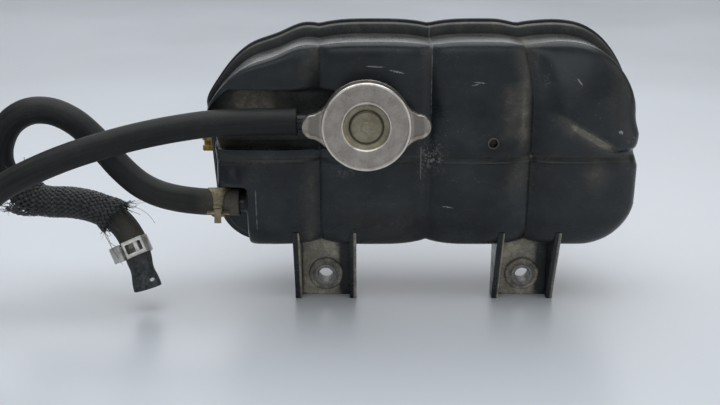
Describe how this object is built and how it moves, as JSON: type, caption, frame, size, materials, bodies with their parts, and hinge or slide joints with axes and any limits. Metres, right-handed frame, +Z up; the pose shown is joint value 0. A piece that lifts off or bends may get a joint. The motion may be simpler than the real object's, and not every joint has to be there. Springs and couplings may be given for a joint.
{
  "type": "coolant expansion tank",
  "caption": "Black moulded coolant expansion tank with lobed front, pressed steel filler cap, two rubber-bushed bracket legs and two clamped rubber hoses.",
  "frame": {"origin": "middle of the two bolt holes, on the front faces of the steel sleeves", "axes": "+X along the tank towards its rounded right end, +Y from the capped front to the back, +Z up with the tank upright on its bolts"},
  "size_m": [0.5123, 0.1303, 0.2073],
  "materials": {
    "tank_plastic": "worn satin",
    "yellow_plastic": "aged",
    "grommet_rubber": "dusty matte",
    "hose_rubber": "matte",
    "braid": "woven",
    "cap_steel": "dull plated",
    "sleeve_steel": "dull",
    "spring_steel": "bright",
    "valve_brass": "plain",
    "tan_clamp": "dull brown",
    "bright_clamp": "bright"
  },
  "bodies": {
    "tank": {"front_shell": "tank_plastic", "rear_shell": "tank_plastic", "left_grommet": "grommet_rubber", "right_grommet": "grommet_rubber", "left_sleeve": "sleeve_steel", "right_sleeve": "sleeve_steel", "port_plug": "yellow_plastic", "port_plug_ring": "grommet_rubber", "feed_hose": "hose_rubber", "feed_hose_clamp": "tan_clamp", "hose_braid": "braid", "end_clamp": "bright_clamp", "overflow_hose": "hose_rubber"},
    "cap": {"cap_cover": "cap_steel", "cap_rivet": "cap_steel", "cap_diaphragm": "spring_steel", "cap_gasket": "grommet_rubber", "valve_cage": "cap_steel", "pressure_spring": "spring_steel"},
    "pressure_valve": {"pressure_plate": "cap_steel", "pressure_seal": "grommet_rubber", "vacuum_spring": "spring_steel"},
    "vacuum": {"vacuum_valve": "valve_brass"}
  },
  "joints": [
    {"name": "cap_turn", "type": "hinge", "parent": "tank", "child": "cap", "pos_m": [-0.044, -0.05, 0.1265], "axis": [0, -1, 0], "range_deg": [0, 90]},
    {"name": "pressure_lift", "type": "slide", "parent": "cap", "child": "pressure_valve", "axis": [0, -1, 0], "range_m": [0, 0.003], "stiffness_N_per_m": 8000, "springref_m": -0.006, "deforming": ["pressure_spring"]},
    {"name": "vacuum_drop", "type": "slide", "parent": "pressure_valve", "child": "vacuum", "axis": [0, 1, 0], "range_m": [0, 0.002], "stiffness_N_per_m": 100, "springref_m": -0.002, "deforming": ["vacuum_spring"]}
  ]
}
